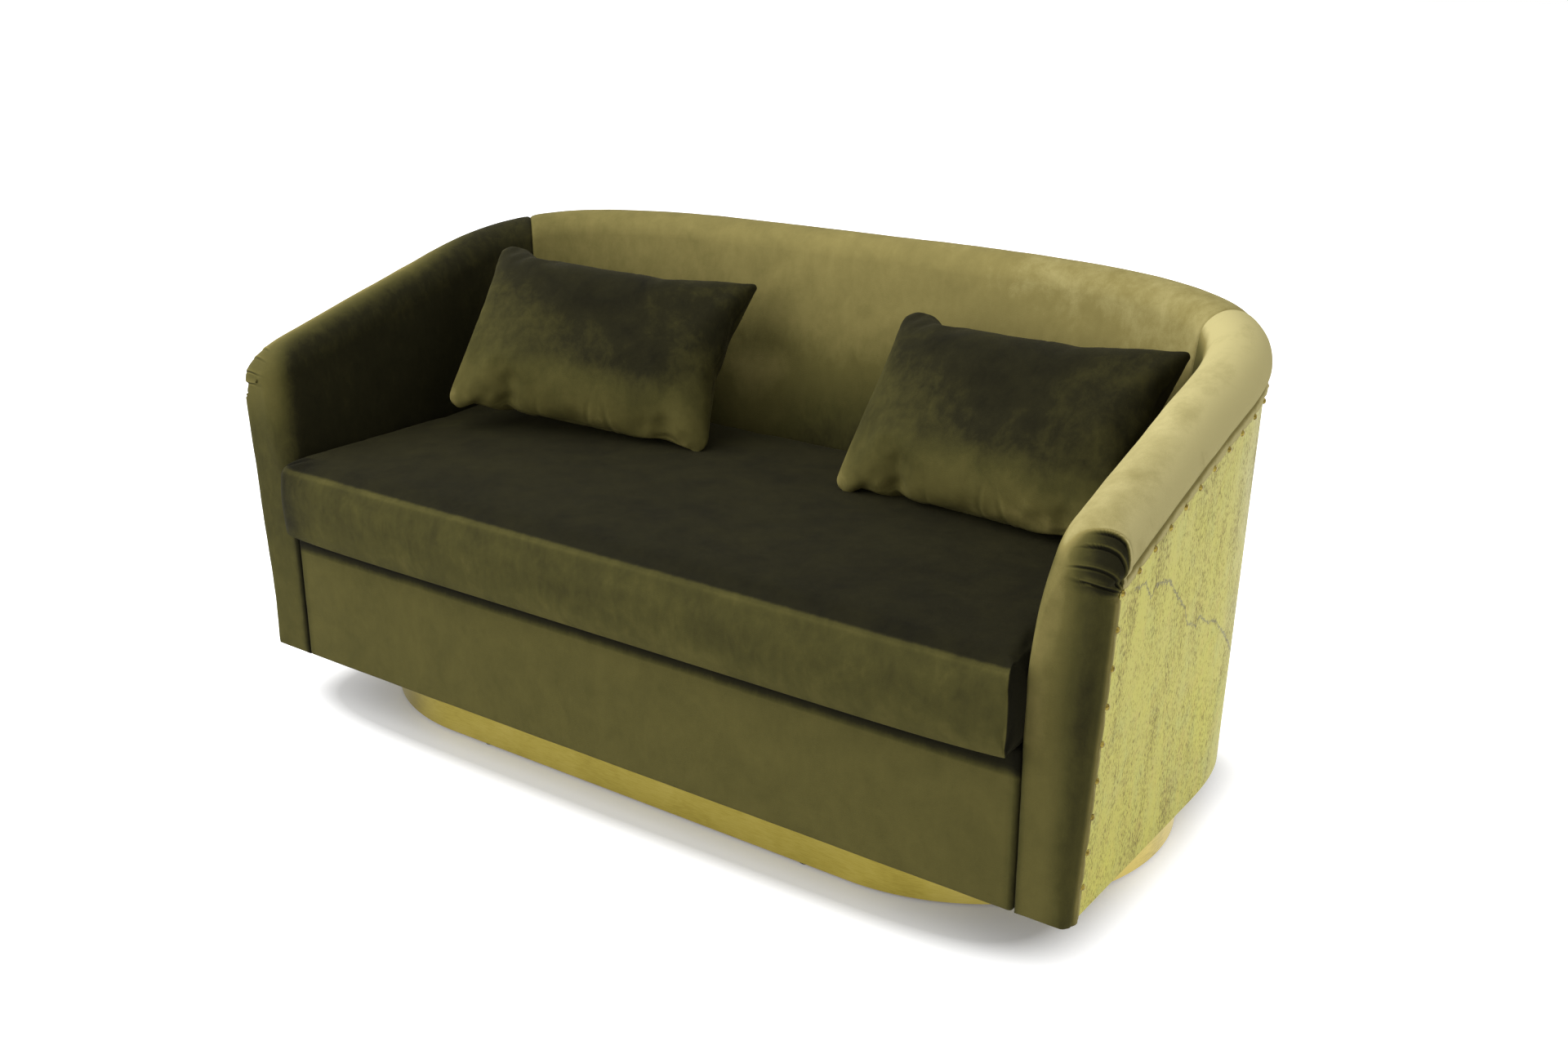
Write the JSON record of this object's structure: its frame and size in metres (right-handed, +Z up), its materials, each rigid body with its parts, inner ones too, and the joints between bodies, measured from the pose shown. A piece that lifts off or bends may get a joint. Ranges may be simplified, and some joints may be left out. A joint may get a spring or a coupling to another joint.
{
  "type": "two-seater sofa",
  "caption": "Low tub sofa with a rolled velvet rim, brass-clad curved outside, oval brass plinth, loose bench cushion and lumbar pillows.",
  "frame": {"origin": "on the floor, under the middle of the sofa's bounding box", "axes": "+X to the right as seen from the front, the front faces -Y, +Z up"},
  "size_m": [1.5958, 0.794, 0.7939],
  "materials": {
    "aged_brass": "aged, satin, speckled with dark patina",
    "satin_brass": "satin",
    "olive_velvet": "short cut pile",
    "plywood": "unfinished",
    "timber": "unfinished",
    "spring_steel": "bright drawn wire",
    "deck_felt": "needled felt",
    "dust_cloth": "non-woven cloth",
    "glide_plastic": "moulded"
  },
  "bodies": {
    "sofa": {"plinth_skirt": "satin_brass", "plinth_frame": "plywood", "plinth_cross_left": "plywood", "plinth_cross_right": "plywood", "glide_1": "glide_plastic", "glide_2": "glide_plastic", "glide_3": "glide_plastic", "glide_4": "glide_plastic", "glide_5": "glide_plastic", "glide_6": "glide_plastic", "dust_cover": "dust_cloth", "base_board": "plywood", "left_side_panel": "plywood", "back_panel": "plywood", "right_side_panel": "plywood", "left_arm_rail": "timber", "back_top_rail": "timber", "right_arm_rail": "timber", "left_front_post": "timber", "left_side_post": "timber", "left_rear_post": "timber", "back_centre_post": "timber", "right_rear_post": "timber", "right_side_post": "timber", "right_front_post": "timber", "front_rail": "timber", "rear_rail": "timber", "left_seat_rail": "timber", "right_seat_rail": "timber", "corner_block_1": "timber", "corner_block_2": "timber", "corner_block_3": "timber", "corner_block_4": "timber", "spring_1": "spring_steel", "spring_2": "spring_steel", "spring_3": "spring_steel", "spring_4": "spring_steel", "spring_5": "spring_steel", "spring_6": "spring_steel", "spring_7": "spring_steel", "seat_deck": "deck_felt", "left_arm_upholstery": "olive_velvet", "back_upholstery": "olive_velvet", "right_arm_upholstery": "olive_velvet", "front_apron": "olive_velvet", "left_cladding": "aged_brass", "back_cladding": "aged_brass", "right_cladding": "aged_brass"},
    "seat_cushion": {"seat_cushion": "olive_velvet"},
    "left_pillow": {"left_pillow": "olive_velvet"},
    "right_pillow": {"right_pillow": "olive_velvet"}
  },
  "joints": [
    {"name": "seat_cushion_lift", "type": "slide", "parent": "sofa", "child": "seat_cushion", "axis": [0, 0, 1], "range_m": [0, 0.5]},
    {"name": "left_pillow_lift", "type": "slide", "parent": "seat_cushion", "child": "left_pillow", "axis": [0, 0, 1], "range_m": [0, 0.36]},
    {"name": "right_pillow_lift", "type": "slide", "parent": "seat_cushion", "child": "right_pillow", "axis": [0, 0, 1], "range_m": [0, 0.36]}
  ]
}
